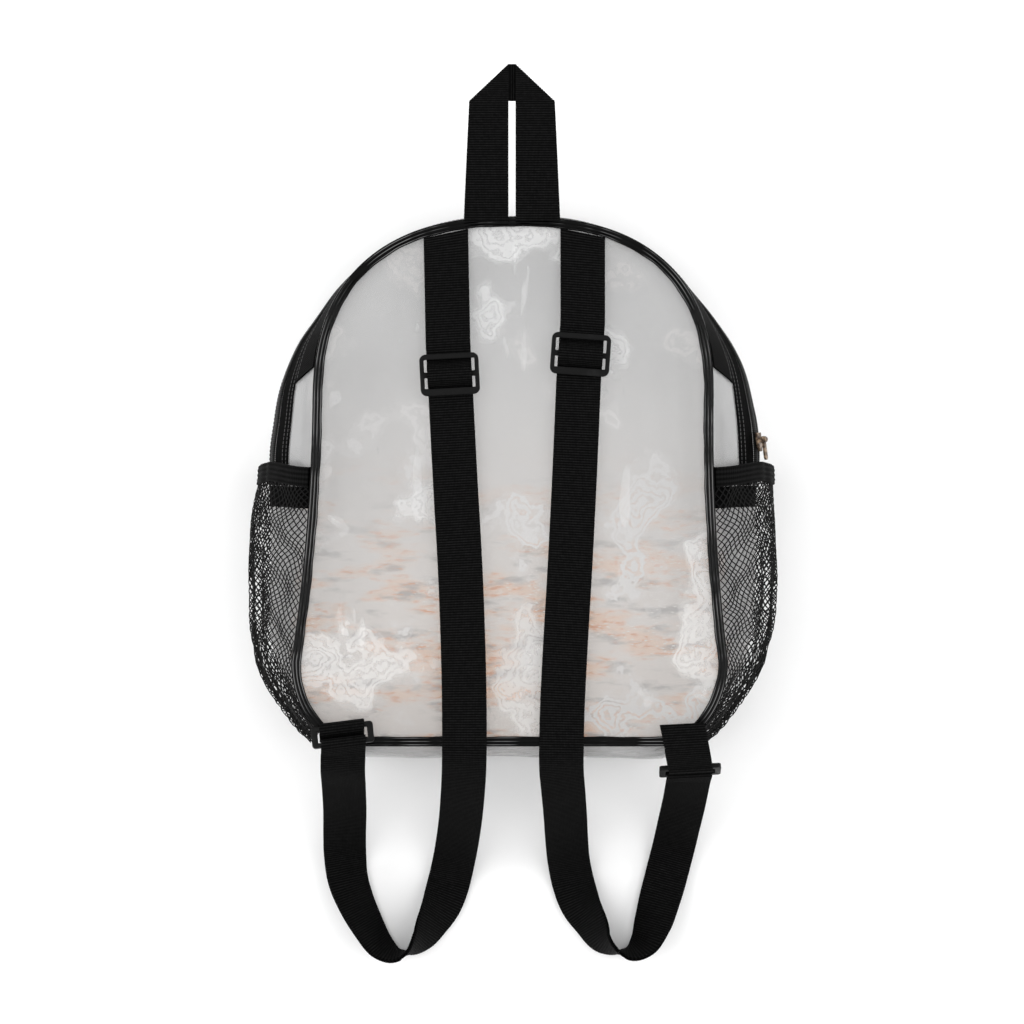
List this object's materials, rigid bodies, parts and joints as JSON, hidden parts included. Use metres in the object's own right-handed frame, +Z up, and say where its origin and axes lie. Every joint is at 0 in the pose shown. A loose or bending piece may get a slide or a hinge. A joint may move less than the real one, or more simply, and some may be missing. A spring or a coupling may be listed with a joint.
{
  "type": "backpack",
  "caption": "Clear PVC event backpack lying face down: arched pane with black piping, zip gusset, mesh side pockets, webbing shoulder straps with tri-glides and a grab loop",
  "frame": {"origin": "middle of the front panel's flat outer face, which lies on the floor", "axes": "+X to the right and +Y towards the grab handle as seen from behind the pack, +Z up out of the back panel"},
  "size_m": [0.3387, 0.5776, 0.1209],
  "materials": {
    "clear_film": "glossy",
    "frosted_film": "satin",
    "printed_film": "glossy",
    "binding_tape": "glossy",
    "webbing": "matte",
    "net": "matte",
    "zip_teeth": "satin",
    "moulded": "satin",
    "old_brass": "satin"
  },
  "bodies": {
    "pack": {"front_panel": "printed_film", "back_panel": "frosted_film", "zip_gusset_rear": "clear_film", "zip_gusset_front": "clear_film", "bottom_gusset": "clear_film", "front_binding": "binding_tape", "back_binding": "binding_tape", "zip_end_patch_left": "webbing", "zip_end_patch_right": "webbing", "zip_tape_rear": "webbing", "zip_tape_front": "webbing", "zip_coil": "zip_teeth", "top_band": "webbing", "pocket_mesh_left": "net", "pocket_mesh_right": "net", "pocket_elastic_left": "webbing", "pocket_elastic_right": "webbing", "shoulder_strap_left": "webbing", "shoulder_strap_right": "webbing", "strap_slider_left": "moulded", "strap_slider_right": "moulded", "strap_ring_left": "moulded", "strap_ring_right": "moulded", "lower_tab_left": "webbing", "lower_tab_right": "webbing", "handle": "webbing", "zip_slider": "old_brass"},
    "zip_pull": {"zip_pull_tab": "old_brass"}
  },
  "joints": [
    {"name": "zip_pull_hinge", "type": "hinge", "parent": "pack", "child": "zip_pull", "pos_m": [0.16091, 0.02733, 0.06842], "axis": [-0.388, -0.0493, 0.9203], "range_deg": [0, 165]}
  ]
}
